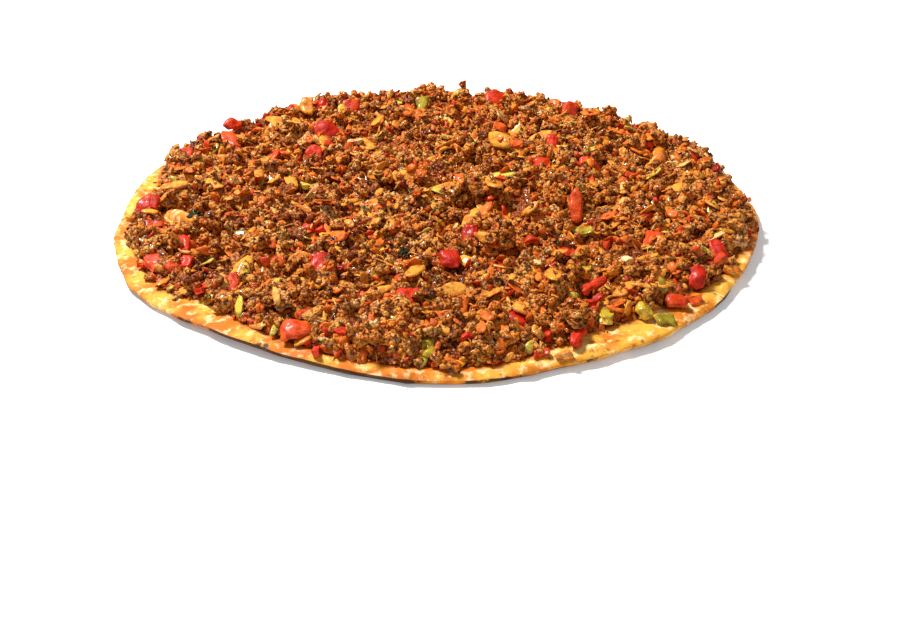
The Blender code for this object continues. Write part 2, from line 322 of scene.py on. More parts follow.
def crumb_finish(name, stops, patch_colour, patch_amount, shine):
    """Cooked mince: a tone for each crumb, patches of orange paste, and grains with gaps."""
    made, tree, shader = finish_tree(name)
    base = ramp(tree, attribute(tree, "tone"), stops)
    place = object_place(tree)
    outward = tree.vector("LENGTH", place).above(0.05, 0.13)
    one_side = tree.add("ShaderNodeSeparateXYZ", {0: place}).out("X").above(0.0, 0.12)
    golden = mottle(tree, 42.0, 4.0) + 0.09 * outward + 0.05 * one_side
    patches = golden.above(0.46, 0.60) * patch_amount
    base = tree.blend(patches, base, paint(patch_colour))
    wobble = tree.vector("SCALE", tree.noise(place, 900.0).out("Color"), Scale=1.0 * MM)
    grains = tree.cells(tree.vector("ADD", place, wobble), 760.0)
    # The gaps between the grains are darkened: painted shade between the grains.
    gap_shade = grains.above(0.38, 0.80)
    base = tree.blend(gap_shade * 0.88, base, paint(GAP_SHADE_COLOUR), "MULTIPLY")
    glints = mottle(tree, 420.0, 2.0).above(0.50, 0.62)
    sockets = {
        "Base Color": base,
        "Roughness": 0.60 - 0.30 * glints,
        "Coat Weight": glints * shine,
        "Coat Roughness": 0.10,
        "Specular IOR Level": 0.18,
        "Normal": bumps(tree, (1 - grains).at_least(0.0), 1.1 * MM, 0.8),
    }
    tree.fill(shader, sockets)
    return made


MEAT_STOPS = (
    (0.0, "3A0C02"), (0.15, "7E3008"), (0.45, "C06C20"), (0.8, "E4A64E"), (1.0, "F4D296"),
)
PASTE_STOPS = ((0.0, "8E2E04"), (0.35, "D0620C"), (0.7, "E8881C"), (1.0, "F2B044"))
CHAR_STOPS = ((0.0, "1E0E06"), (0.5, "42220E"), (1.0, "703C18"))
# The core's tone is its height, so the dark end of its ramp is painted shade in the hollows.
CORE_HEIGHT_SHADE_STOPS = ((0.0, "461202"), (0.4, "8C3A08"), (1.0, "C8721E"))

meat = crumb_finish("cooked_mince", MEAT_STOPS, "DC8428", 0.55, 0.45)
paste = crumb_finish("paste_coated_mince", PASTE_STOPS, "E88018", 0.55, 0.4)
dark_meat = crumb_finish("browned_mince", CHAR_STOPS, "5A2A10", 0.4, 0.15)
oily_core = crumb_finish("oily_mince_bed", CORE_HEIGHT_SHADE_STOPS, "C4600E", 0.6, 0.25)


# %% Vegetables and herbs
STAIN_COLOUR = "B4551C"


def vegetable_finish(name, flesh_colour, gloss, glow, stops):
    """Cooked vegetable: a tone for each piece, a glossy skin, paler cut sides and wrinkles."""
    made, tree, shader = finish_tree(name)
    skin = ramp(tree, attribute(tree, "tone"), stops)
    flesh = tree.blend(0.65, skin, paint(flesh_colour))
    cut = 1 - attribute(tree, "skin")
    base = tree.blend(cut * 0.75, skin, flesh)
    stain = mottle(tree, 260.0, 4.0).above(0.46, 0.62)
    base = tree.blend(stain * 0.6, base, paint(STAIN_COLOUR), "MULTIPLY")
    sockets = {
        "Base Color": base,
        "Roughness": 0.26 + 0.30 * mottle(tree, 420.0, 2.0) + 0.12 * cut,
        "Coat Weight": gloss,
        "Coat Roughness": 0.16,
        "Specular IOR Level": 0.14,
        "Subsurface Weight": glow,
        "Subsurface Radius": (1.0, 0.35, 0.15),
        "Subsurface Scale": 1.2 * MM,
        "Normal": bumps(tree, mottle(tree, 480.0, 4.0, 0.65), 1.0 * MM, 0.7),
    }
    tree.fill(shader, sockets)
    return made


red_skin = vegetable_finish(
    "red_pepper_skin", "DE4E18", 0.10, 0.03,
    ((0.0, "860C02"), (0.35, "BE2204"), (0.7, "D23608"), (1.0, "DC5A24")),
)
tomato_skin = vegetable_finish(
    "tomato_flesh", "E88428", 0.12, 0.05,
    ((0.0, "AC2206"), (0.4, "CE3E0A"), (0.8, "E05E10"), (1.0, "EA8424")),
)
green_skin = vegetable_finish(
    "green_pepper_skin", "E6CC50", 0.45, 0.15,
    ((0.0, "6E6410"), (0.4, "9C8A16"), (0.75, "C4A626"), (1.0, "DCC050")),
)
onion_flesh = vegetable_finish(
    "onion_flesh", "F0A83A", 0.20, 0.10,
    ((0.0, "B4540C"), (0.4, "CE7214"), (0.75, "E0942A"), (1.0, "F0D092")),
)
shred_finish = vegetable_finish(
    "orange_shreds", "E8A040", 0.4, 0.15,
    ((0.0, "C85A12"), (0.5, "E88420"), (1.0, "F8B850")),
)
herb = vegetable_finish(
    "parsley_leaf", "2E3A12", 0.2, 0.0,
    ((0.0, "14180A"), (0.5, "232C0E"), (1.0, "42521A")),
)

# %% [markdown]
# ## Dough
#
# The bare dough is golden where it browned, orange where the fat of the mince soaked in, and
# nearly black in small blistered dots. Pale cream flecks are partly its own pale spots and partly
# painted highlight. Where it faces down it is darker, partly its baked underside and partly
# painted shade, and the side edges at the front get a near-black painted shade. The bread's mesh
# carries four numbers for each vertex: how near the mince is, how far out on the rim it is, how
# much it faces down, and how much painted shade its front edge gets. The finish mixes its
# colours by those and by noise.


# %% Dough finish
def dough_finish():
    made, tree, shader = finish_tree("baked_dough")
    near_mince = attribute(tree, "near_mince")
    rim = attribute(tree, "rim")
    below = attribute(tree, "below")
    cloud = mottle(tree, 60.0, 4.0)
    fine = mottle(tree, 260.0, 4.0)
    soak = (near_mince + (cloud - 0.5) * 1.4).above(0.16, 0.58)
    # Pale cream flecks: partly the dough's own pale spots, partly painted highlight.
    cream_and_highlight = fine.above(0.50, 0.66) * (1 - 0.7 * soak)
    deep = (near_mince + (fine - 0.5) * 1.8).above(0.50, 0.95)
    browned = mottle(tree, 340.0, 5.0, 0.7).above(0.56, 0.64)
    toast = (rim + (mottle(tree, 45.0, 3.0) - 0.5) * 2.6).above(0.75, 1.35)
    cells = tree.cells(object_place(tree), 150.0)
    dots = (1 - cells.above(0.10, 0.22)) * mottle(tree, 95.0, 2.0).above(0.50, 0.56)
    # Darker where the dough faces down: partly its baked underside, partly painted shade.
    underside_scorch_and_shade = (below + (mottle(tree, 38.0, 3.0) - 0.5) * 1.6).above(0.55, 1.0)
    # A near-black painted shade on the side edges at the front.
    burnt = (attribute(tree, "burnt") + (fine - 0.5) * 1.2).above(0.35, 0.60)
    base = tree.blend(cloud.above(0.39, 0.57), paint("E6A436"), paint("C86A0C"))
    for share, colour in (
        (soak * 0.85, "CC6806"),
        (cream_and_highlight * 0.75, "F6DA9C"),
        (deep, "8C3806"),
        (browned * 0.7, "9C521A"),
        (toast * 0.6, "BC701C"),
        (dots * 0.9, "3A180A"),
        (underside_scorch_and_shade * 0.9, "6A3A22"),
        (burnt * 0.92, "2E140A"),
    ):
        base = tree.blend(share, base, paint(colour))
    height = mottle(tree, 330.0, 5.0) + 0.5 * cells
    sockets = {
        "Base Color": base,
        "Roughness": 0.72 - 0.25 * soak,
        "Coat Weight": soak * 0.15,
        "Specular IOR Level": 0.2,
        "Coat Roughness": 0.2,
        "Subsurface Weight": 0.10,
        "Subsurface Radius": (1.0, 0.55, 0.25),
        "Subsurface Scale": 2.0 * MM,
        "Normal": bumps(tree, height, 0.6 * MM, 0.55),
    }
    tree.fill(shader, sockets)
    return made


dough = dough_finish()


# %% [markdown]
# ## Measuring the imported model
#
# The bread and the mince are measured by dropping a ray on them from above at every point
# of a square grid. That gives the height of the bread, and a mask that says where there is
# mince. Rays from below give the bread's underside, which nothing may poke out of. A softened
# mask falls smoothly from 1 inside to 0 outside, which is a cheap way of knowing how near the
# edge a point is. The widest one tells the gentle slope of the mince towards its edge. A gap
# in the mince well inside the rim is where a blister of the bread comes through.


# %% Height maps
STEP = 0.80 * MM
ABOVE, BELOW = 60 * MM, -10 * MM
MINCE_SOFT, MINCE_WIDE, BREAD_SOFT = 2.2 * MM, 5.0 * MM, 3.0 * MM
INNER_RADIUS = 128 * MM
USUAL_PERCENTILE = 60

reach = max(abs(value) for value in (*cad_low.xy, *cad_high.xy)) + 2 * MM
count = int(2 * reach / STEP) + 1
axis = np.linspace(-reach, reach, count)
SPACING = axis[1] - axis[0]


def search_in(meshes):
    """A search tree over the faces of some meshes."""
    places, faces = [], []
    for mesh in meshes:
        first = len(places)
        places += [vertex.co.copy() for vertex in mesh.vertices]
        faces += [tuple(first + corner for corner in face.vertices) for face in mesh.polygons]
    return BVHTree.FromPolygons(places, faces)


def first_hit(search, x, y, start=ABOVE):
    """Where a vertical ray from a height first meets a shape, or None."""
    way = -1 if start > 0 else 1
    return search.ray_cast(Vector((x, y, start)), Vector((0, 0, way)))[0]


def height_grid(search, start=ABOVE):
    """Where vertical rays first meet a shape, for each grid point, or NaN beside it."""
    found = np.full((count, count), np.nan)
    for i, x in enumerate(axis):
        for j, y in enumerate(axis):
            if x * x + y * y < reach * reach * 1.1:
                hit = first_hit(search, x, y, start)
                if hit is not None:
                    found[i, j] = hit.z
    return found


def softened(field, radius, passes=3):
    """A grid blurred by moving averages along both axes."""
    size = max(1, int(round(radius / SPACING)))
    field = np.asarray(field, float)
    for _ in range(passes):
        for _ in range(2):
            total = np.cumsum(np.pad(field, ((size + 1, size), (0, 0)), mode="edge"), axis=0)
            field = ((total[2 * size + 1 :] - total[: -2 * size - 1]) / (2 * size + 1)).T
    return field


def read_grid(field, spots):
    """The values of a grid at some places, between its four nearest points."""
    u = np.clip((spots[..., 0] + reach) / SPACING, 0.0, count - 1.001)
    v = np.clip((spots[..., 1] + reach) / SPACING, 0.0, count - 1.001)
    i, j = u.astype(int), v.astype(int)
    p, q = u - i, v - j
    near = field[i, j] * (1 - q) + field[i, j + 1] * q
    far = field[i + 1, j] * (1 - q) + field[i + 1, j + 1] * q
    return near * (1 - p) + far * p


nodes = frame["nodes"]
bread_search = search_in([nodes["flatbread"].data])
bread_height = height_grid(bread_search)
mince_height = height_grid(search_in([nodes["mince_layer"].data]))
bread_under = height_grid(bread_search, BELOW)
bread_under = np.where(np.isfinite(bread_under), bread_under, 0.0)
bread_mask = np.isfinite(bread_height).astype(float)
mince_mask = np.isfinite(mince_height).astype(float)
bread_filled = np.where(bread_mask > 0, bread_height, np.nanmedian(bread_height))
soft_mask = softened(mince_mask, MINCE_SOFT)
wide_mask = softened(mince_mask, MINCE_WIDE)
soft_bread = softened(bread_mask, BREAD_SOFT)
from_middle = np.hypot(*np.meshgrid(axis, axis, indexing="ij"))
blisters = (from_middle < INNER_RADIUS) & (mince_mask == 0)
MINCE_DEPTH = float(np.nanpercentile(mince_height - bread_height, USUAL_PERCENTILE))
print("grid:", count, "usual depth of the mince in mm:", round(MINCE_DEPTH / MM, 2))


# %% [markdown]
# ## Helpers for meshes
#
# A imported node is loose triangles, so a copy is welded first. Modifiers are applied as soon
# as they have done their work, which leaves plain meshes that any program can read.


# %% Mesh helpers
LEAST_SKIN = 0.5 * MM
SAME_POINT = 0.01 * MM


def points_of(mesh):
    found = np.empty(len(mesh.vertices) * 3, np.float32)
    mesh.vertices.foreach_get("co", found)
    return found.reshape(-1, 3).astype(float)


def normals_of(mesh):
    return np.array([vertex.normal[:] for vertex in mesh.vertices])


def set_points(mesh, places):
    mesh.vertices.foreach_set("co", np.asarray(places, np.float32).ravel())
    mesh.update()


def set_values(mesh, name, values):
    """Stores one number for each vertex, for a finish or a tree to read."""
    layer = mesh.attributes.get(name) or mesh.attributes.new(name, "FLOAT", "POINT")
    layer.data.foreach_set("value", np.asarray(values, np.float32))


def keep_above(mesh):
    """Lifts the vertices that would come out below the bread."""
    spots = points_of(mesh)
    spots[:, 2] = np.maximum(spots[:, 2], read_grid(bread_under, spots) + LEAST_SKIN)
    set_points(mesh, spots)


def triangles_of(mesh):
    return sum(len(face.vertices) - 2 for face in mesh.polygons)


def new_piece(name, mesh, material):
    piece = bpy.data.objects.new(name, mesh)
    show(piece)
    mesh.materials.clear()
    mesh.materials.append(material)
    return piece


def settle(piece):
    """Applies an object's modifiers, so that it is a plain mesh."""
    bpy.context.view_layer.update()
    graph = bpy.context.evaluated_depsgraph_get()
    mesh = bpy.data.meshes.new_from_object(piece.evaluated_get(graph))
    piece.modifiers.clear()
    piece.data = mesh
    return piece


def rounded(piece, levels):
    """Rounds a piece with Subdivision Surface."""
    rounding = piece.modifiers.new("rounding", "SUBSURF")
    rounding.levels = levels
    rounding.render_levels = levels
    return settle(piece)


def welded(mesh):
    """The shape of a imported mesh, with its doubles merged and its triangle pairs joined."""
    shape = bmesh.new()
    shape.from_mesh(mesh)
    bmesh.ops.remove_doubles(shape, verts=shape.verts, dist=SAME_POINT)
    bmesh.ops.join_triangles(
        shape, faces=shape.faces, angle_face_threshold=0.6, angle_shape_threshold=1.1
    )
    return shape


def mesh_from(shape, name):
    mesh = bpy.data.meshes.new(name)
    shape.to_mesh(mesh)
    shape.free()
    return mesh


def smooth_mesh_from(shape, name):
    mesh = mesh_from(shape, name)
    mesh.shade_smooth()
    return mesh


def ripple(place, per_metre, shift=0.0):
    """Smooth noise between -1 and 1 at a place."""
    return noise.noise(Vector(place) * per_metre + Vector((shift, shift, shift)))


def noise_at(places, per_metre, shift=0.0):
    """The ripple at many places."""
    return np.array([ripple(place, per_metre, shift) for place in places])


# %% [markdown]
# ## Bread
#
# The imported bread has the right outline, waves and blisters, but with long straight edges.
# Subdivision Surface rounds a welded copy. Its vertices are then pushed along their normals
# by noise, most on the bare rim: the shallow lumps and small bubbles of baked dough.

# %% Bread mesh
BREAD_LEVELS = 3
BUBBLE_HEIGHT, BUBBLE_START = 2.2, 0.15
WAVE_HEIGHT, WAVE_DROP, OUTLINE_WAVE = 0.9, 0.75, 0.012
BLISTER_SOFT = 1.0 * MM
# Where the side edges at the front get a near-black painted shade, and how it spreads.
SHADE_SIDE, SHADE_SPREAD = 253.0, 15.0
SHADE_START, SHADE_FACING = 0.30, 0.88

cage = mesh_from(welded(nodes["flatbread"].data), "bread")
bread = rounded(new_piece("bread", cage, dough), BREAD_LEVELS)

places = points_of(bread.data)
normals = normals_of(bread.data)
level = places * (1, 1, 0)
upward = np.maximum(0, normals[:, 2])
bare = 1 - np.minimum(1, read_grid(soft_mask, places) * 1.4)
on_rim = 1 - np.minimum(1, read_grid(soft_bread, places))
lumps = 0.35 * noise_at(places, 110.0) + 0.22 * noise_at(places, 260.0, 5.0)
bubbles = np.maximum(0, noise_at(level, 150.0, 9.0) - BUBBLE_START) * BUBBLE_HEIGHT
push = lumps * (0.3 + bare) + bubbles * upward * bare
underneath = normals[:, 2] < -0.5
push[underneath] *= 0.25 * np.minimum(1, on_rim[underneath] * 3)
swell = noise_at(level, 75.0)
dents = noise_at(level, 60.0, 4.0)
wave = WAVE_HEIGHT * swell - WAVE_DROP
places[:, 2] += upward * np.minimum(1, on_rim * 1.6) * wave * MM
places[:, :2] *= 1 + OUTLINE_WAVE * (on_rim * dents)[:, None]
places += normals * push[:, None] * MM
places[:, 2] = np.maximum(places[:, 2], 0.0)
set_points(bread.data, places)

# %% [markdown]
# Fat soaks into the dough near the mince but not on the blisters, and the side edges at the
# front, a little to the left, get a near-black painted shade.

# %% What the dough's finish reads
on_blister = np.minimum(1, 1.6 * read_grid(softened(blisters, BLISTER_SOFT, 1), places))
near_mince = np.minimum(1, read_grid(soft_mask, places) * 1.7)
turned = np.degrees(np.arctan2(places[:, 1], places[:, 0])) % 360
# A near-black painted shade on the side faces of the rim, strongest towards the front.
toward_shaded_side = np.exp(-(((turned - SHADE_SIDE) / SHADE_SPREAD) ** 2))
edge = np.clip((on_rim - SHADE_START) * 8, 0, 1)
edge = edge * np.clip((SHADE_FACING - normals[:, 2]) * 2.2, 0, 1)
set_values(bread.data, "near_mince", near_mince * (1 - on_blister) - 0.3 * on_blister)
set_values(bread.data, "rim", np.minimum(1, on_rim * 2))
set_values(bread.data, "below", np.clip(0.35 - normals[:, 2], 0, 1))
set_values(bread.data, "burnt", np.clip((1.1 * toward_shaded_side + 0.25 + 0.55 * dents) * edge, 0, 1))
bread.data.shade_smooth()
print("bread triangles:", triangles_of(bread.data))


# %% [markdown]
# ## Core of the mince
#
# Mince fries into a lumpy bed with deep gaps between the clumps. The core is a sheet over
# the bread, raised by the depth of the mince and sloping gently down to its ragged edge. Its
# relief follows a rule, so Geometry Nodes make it: rounded cells in three sizes, for clumps,
# lumps and crumbs, on warped coordinates so that no cell is round, and slow noise that opens
# the deep hollows. Loose crumbs are scattered over it afterwards.

# %% A sheet over the bread
CORE_SINK = 2.9 * MM
CORE_EDGE = 0.40
CORE_SWELL = 1.6
SLOPE_START, SLOPE_SPAN, SLOPE_LEAST = 0.42, 0.46, 0.30
EDGE_UNDER = 0.2 * MM


def mince_sheet(name):
    """A sheet of quads over the grid points where there is mince."""
    index = -np.ones((count, count), int)
    places, tapers = [], []
    for i, x in enumerate(axis):
        for j, y in enumerate(axis):
            spot = (x, y, 0.0)
            ragged = 0.16 * ripple(spot, 230.0, 3.0) + 0.10 * ripple(spot, 600.0, 8.0)
            share = soft_mask[i, j] + ragged
            if share < CORE_EDGE:
                continue
            inner = min(1.0, (share - CORE_EDGE) / (1.0 - CORE_EDGE) * 1.1)
            swell = CORE_SWELL * ripple(spot, 60.0) * MM
            slope = (wide_mask[i, j] - SLOPE_START) / SLOPE_SPAN
            slope = min(1.0, max(SLOPE_LEAST, slope))
            depth = (MINCE_DEPTH + swell - CORE_SINK) * inner**0.75 * slope
            index[i, j] = len(places)
            tapers.append(inner * (0.35 + 0.65 * slope))
            places.append((x, y, bread_filled[i, j] + max(depth, -EDGE_UNDER)))
    quads = []
    for i in range(count - 1):
        for j in range(count - 1):
            corners = [index[i, j], index[i + 1, j], index[i + 1, j + 1], index[i, j + 1]]
            if min(corners) >= 0:
                quads.append([int(corner) for corner in corners])
    mesh = bpy.data.meshes.new(name)
    mesh.from_pydata(places, [], quads)
    set_values(mesh, "taper", tapers)
    return mesh


# %% Geometry Nodes helpers
SOCKET_KINDS = {
    float: "NodeSocketFloat",
    int: "NodeSocketInt",
    type(None): "NodeSocketMaterial",
}


def geometry_tree(name, inputs):
    """A modifier tree with named inputs: the group, its tree and its inputs as values.

    An input without a value is a material.
    """
    group = bpy.data.node_groups.new(name, "GeometryNodeTree")
    group.interface.new_socket("Geometry", in_out="INPUT", socket_type="NodeSocketGeometry")
    for label, value in inputs.items():
        kind = SOCKET_KINDS[type(value)]
        socket = group.interface.new_socket(label, in_out="INPUT", socket_type=kind)
        if value is not None:
            socket.default_value = value
    group.interface.new_socket("Geometry", in_out="OUTPUT", socket_type="NodeSocketGeometry")
    tree = Tree(group)
    source = group.nodes.new("NodeGroupInput")
    return group, tree, {s.name: Wire(tree, s) for s in source.outputs if s.name}


def named(tree, name):
    """A number that each vertex of the mesh carries."""
    return tree.add("GeometryNodeInputNamedAttribute", {"Name": name}, data_type="FLOAT")


def stored(tree, geometry, domain, name, value):
    """Gives each vertex or each instance a number under a name."""
    sockets = {"Geometry": geometry, "Name": name, "Value": value}
    kind = "GeometryNodeStoreNamedAttribute"
    return tree.add(kind, sockets, data_type="FLOAT", domain=domain)


def close_tree(tree, geometry, material):
    """Realizes the instances, sets the material and ends the tree."""
    realized = tree.add("GeometryNodeRealizeInstances", {"Geometry": geometry})
    coated = tree.add("GeometryNodeSetMaterial", {"Geometry": realized, "Material": material})
    output = tree.target.nodes.new("NodeGroupOutput")
    tree.target.links.new(coated.socket, output.inputs[0])


def use_tree(piece, group, values):
    """Puts a tree on an object, with its inputs set by their identifiers, and applies it."""
    modifier = piece.modifiers.new(group.name, "NODES")
    modifier.node_group = group
    for item in group.interface.items_tree:
        if item.in_out == "INPUT" and item.name in values:
            modifier[item.identifier] = values[item.name]
    return settle(piece)


# %% Relief of the core
HOLLOW_START, HOLLOW_STEP = 0.53, 0.09

group, tree, given = geometry_tree(
    "mince_relief",
    {
        "Clump height": 2.7 * MM,
        "Lump height": 1.9 * MM,
        "Crumb height": 0.7 * MM,
        "Hollow depth": 3.5 * MM,
        "Material": None,
    },
)
place = tree.add("GeometryNodeInputPosition")
warp = tree.noise(place, 130.0, 3.0).out("Color")
warp = tree.vector("SUBTRACT", warp, (0.5, 0.5, 0.5))
place = tree.vector("ADD", place, tree.vector("SCALE", warp, Scale=11.0 * MM))


def domes(cells_per_metre):
    """Rounded cells: 1 at a cell's middle and 0 at its border."""
    return (1 - tree.cells(place, cells_per_metre) * 1.3).at_least(0.0) ** 0.65


raised = domes(88.0) * given["Clump height"] + domes(210.0) * given["Lump height"]
raised = raised + domes(430.0) * given["Crumb height"]
for per_metre in (42.0, 95.0):
    hollow = tree.noise(place, per_metre).above(HOLLOW_START, HOLLOW_START + HOLLOW_STEP)
    raised = raised - hollow * given["Hollow depth"]
offset = tree.add("ShaderNodeCombineXYZ", {"Z": raised * named(tree, "taper")})
lifted = tree.add("GeometryNodeSetPosition", {"Geometry": given["Geometry"], "Offset": offset})
highest = given["Clump height"] + given["Lump height"] + given["Crumb height"]
# The tone is the height of the relief, so the core's finish paints the hollows darker and the tops
# paler: painted shade.
hollow_shade_toned = stored(tree, lifted, "POINT", "tone", raised / highest * 1.2)
close_tree(tree, hollow_shade_toned, given["Material"])

core = new_piece("mince_core", mince_sheet("mince_core"), oily_core)
use_tree(core, group, {"Material": oily_core})
core.data.shade_smooth()
print("core triangles:", triangles_of(core.data))


# %% [markdown]
# ## Large vegetable pieces
#
# Every packed chip becomes a real piece of vegetable. Its cage is subdivided with creased
# edges, so that the knife cuts stay crisp, and its faces are wrinkled by noise. The thin
# direction of a chip tells its skin from its flesh: the skin side is smooth and deep in
# colour, and the cut side is paler. Smaller chips are made from a cage of the same kind and
# laid on the core at the places where the real one has them.

# %% Chip cages
CHIP_FINISHES = {
    "red_pepper": red_skin,
    "tomato": tomato_skin,
    "green_pepper": green_skin,
    "onion": onion_flesh,
}
BEND, CORNER_LOW, CORNER_HIGH = 0.5, -0.22, 0.16
ROLL = 0.35


def chip_cage(length, width, thickness, rng):
    """A rough box with uneven corners and a slight bend, two cells along every side."""
    shape = bmesh.new()
    bmesh.ops.create_cube(shape, size=1.0)
    bmesh.ops.subdivide_edges(shape, edges=shape.edges[:], cuts=1, use_grid_fill=True)
    bend = rng.uniform(-BEND, BEND) * thickness
    for vertex in shape.verts:
        x, y, z = vertex.co
        taper = 1.0 + rng.uniform(CORNER_LOW, CORNER_HIGH)
        bent = z * thickness + bend * (4 * x * x - 0.5)
        vertex.co = Vector((x * length * taper, y * width * taper, bent))
    return shape


def laid(shape, x, y, z, yaw, lean, rng):
    """Turns a cage and lays it at a place."""
    turn = Matrix.Rotation(yaw, 4, "Z") @ Matrix.Rotation(lean, 4, "Y")
    turn = turn @ Matrix.Rotation(rng.uniform(-ROLL, ROLL), 4, "X")
    bmesh.ops.transform(shape, matrix=Matrix.Translation((x, y, z)) @ turn, verts=shape.verts)
    return shape


# %% [markdown]
# Small chips, by kind. Each row gives x and y in mm from the middle, length, width, turn in
# degrees and tone. A low tone is the darkest colour that the kind has.

# %% Places of the small chips
SMALL_CHIPS = {
    "red_pepper": (
        (-115, -65, 8, 4, 60, 0.6), (-97, -72, 6, 4, 80, 0.5), (-66, -62, 7, 5, 60, 0.9),
        (-51, -50, 6, 5, 0, 1.0), (-50, -44, 6, 4, 30, 0.6), (-28, -32, 4, 3, 0, 0.9),
        (-19, -13, 4, 3, 30, 0.5), (-30, -86, 7, 4, 10, 0.6), (-26, -94, 6, 3, 0, 0.1),
        (-37, -75, 5, 3, 70, 0.1), (-88, -88, 7, 4, 80, 0.6), (-32, -122, 6, 3, 0, 0.5),
        (-41, -127, 6, 3, 85, 0.5), (25, -71, 8, 4, 25, 0.5), (113, -31, 5, 4, 0, 0.9),
        (126, -24, 5, 3, 60, 0.1), (58, -98, 6, 4, 40, 0.5), (10, -124, 5, 3, 10, 0.5),
        (38, -119, 4, 3, 40, 0.5), (64, 115, 6, 4, 20, 0.1), (58, 7, 5, 3, 20, 0.1),
        (93, 78, 4, 3, 0, 0.1), (108, 68, 6, 4, 40, 0.5), (128, 20, 4, 3, 0, 0.1),
    ),
    "tomato": (
        (-119, -38, 9, 4, 10, 0.3), (-82, -34, 5, 4, 10, 0.3), (-46, -108, 8, 4, 20, 0.3),
        (16, -9, 8, 3, 20, 0.4), (37, -52, 5, 4, 10, 0.3), (66, -56, 6, 4, 80, 0.3),
        (109, -68, 8, 3, 40, 0.3), (88, -31, 8, 3, 40, 0.2), (96, -92, 6, 4, 20, 0.8),
        (7, -106, 7, 4, 10, 0.8), (36, -129, 6, 3, 10, 0.3), (-95, 82, 6, 4, 0, 0.9),
        (-8, 49, 6, 5, 20, 0.2), (8, 76, 6, 5, 10, 0.9), (36, 51, 8, 6, 10, 0.7),
        (28, 11, 6, 4, 80, 0.1), (89, 11, 6, 4, 0, 0.3), (105, 87, 6, 3, 60, 0.3),
    ),
    "green_pepper": (
        (61, -105, 10, 5, 85, 0.7), (82, -107, 7, 4, 10, 0.3), (60, -38, 8, 5, 10, 0.6),
        (-59, 8, 7, 5, 20, 0.9), (121, 3, 6, 4, 0, 0.9),
    ),
    "onion": (
        (-45, -57, 6, 4, 20, 0.6), (43, -129, 5, 4, 0, 0.8), (74, -65, 6, 4, 30, 1.0),
        (115, -71, 6, 4, 10, 0.5), (-72, 113, 9, 3, 70, 0.6), (-32, 50, 9, 3, 15, 0.5),
        (-31, 8, 8, 3, 40, 0.5), (-42, 55, 7, 4, 0, 0.9), (77, 110, 6, 3, 0, 0.6),
        (111, 28, 7, 4, 0, 1.0),
    ),
}


# %% Making the chips
SMALL_THICKNESS, SMALL_RISE, SMALL_LEAN = 2.2 * MM, 0.9 * MM, 0.3
CREASE_ANGLE, CREASE = math.radians(22), 0.85
UNEVEN, UNEVEN_PER_METRE = 1.6 * MM, 210.0
CHIP_LEVELS = 2


def chip_shapes(kind, rng):
    """All cages of a kind: (shape, tone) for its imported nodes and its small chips."""
    for node in sorted(name for name in nodes if name.startswith(kind)):
        yield welded(nodes[node].data), rng.uniform(0.25, 0.85)
    for x, y, length, width, yaw, tone in SMALL_CHIPS[kind]:
        x, y = x * MM, y * MM
        hit = first_hit(core_search, x, y)
        top = hit.z if hit is not None else float(read_grid(bread_filled, np.array((x, y))))
        lean = rng.uniform(-SMALL_LEAN, SMALL_LEAN)
        shape = chip_cage(length * MM, width * MM, SMALL_THICKNESS, rng)
        yield laid(shape, x, y, top + SMALL_RISE, math.radians(yaw), lean, rng), tone


def chips_of(kind):
    """One piece with every chip of a kind, rounded, wrinkled and toned."""
    name = f"{kind}_pieces"
    rng = random.Random(name)
    gathered = bmesh.new()
    tone_layer = gathered.verts.layers.float.new("tone")
    skin_layer = gathered.verts.layers.float.new("skin")
    crease_layer = gathered.edges.layers.float.new("crease_edge")
    for shape, tone in chip_shapes(kind, rng):
        spots = np.array([vertex.co[:] for vertex in shape.verts])
        middle = spots.mean(axis=0)
        thin = np.linalg.svd(spots - middle)[2][2]
        thin = thin if thin[2] > 0 else -thin
        across = (spots - middle) @ thin
        across = across / np.abs(across).max()
        shift = rng.uniform(0, 90)
        for vertex in shape.verts:
            aside = [ripple(vertex.co, UNEVEN_PER_METRE, shift + more) for more in (0, 9)]
            vertex.co += UNEVEN * Vector((*aside, 0.0))
        made = [gathered.verts.new(vertex.co) for vertex in shape.verts]
        for vertex, side in zip(made, across):
            vertex[tone_layer] = tone
            vertex[skin_layer] = min(1.0, max(0.0, 0.4 + 1.2 * side))
        for face in shape.faces:
            gathered.faces.new([made[vertex.index] for vertex in face.verts])
        shape.free()
    gathered.normal_update()
    for edge in gathered.edges:
        sharp = len(edge.link_faces) == 2 and edge.calc_face_angle(0.0) > CREASE_ANGLE
        edge[crease_layer] = CREASE if sharp else 0.0
    piece = rounded(new_piece(name, mesh_from(gathered, name), CHIP_FINISHES[kind]), CHIP_LEVELS)
    spots = points_of(piece.data)
    wrinkle = 1.00 * noise_at(spots, 260.0) + 0.45 * noise_at(spots, 700.0)
    set_points(piece.data, spots + normals_of(piece.data) * wrinkle[:, None] * MM)
    keep_above(piece.data)
    piece.data.shade_smooth()
    print(name + ":", triangles_of(piece.data), "triangles")
    return piece


core_search = search_in([core.data])
chip_pieces = {kind: chips_of(kind) for kind in CHIP_FINISHES}

# %% [markdown]
# The core must not swallow the chips, so it is pressed down wherever a chip lies, and around
# the blisters. The same map of the chips and blisters keeps the loose crumbs off them.

# %% Room for the chips and blisters
CHIP_CLEAR, BLISTER_CLEAR = 1.2 * MM, 2.4 * MM
CHIP_GAP, BLISTER_PRESS = 0.3 * MM, 4 * MM
HOLLOW_TONE, HOLLOW_CHANCE = 0.02, 0.14

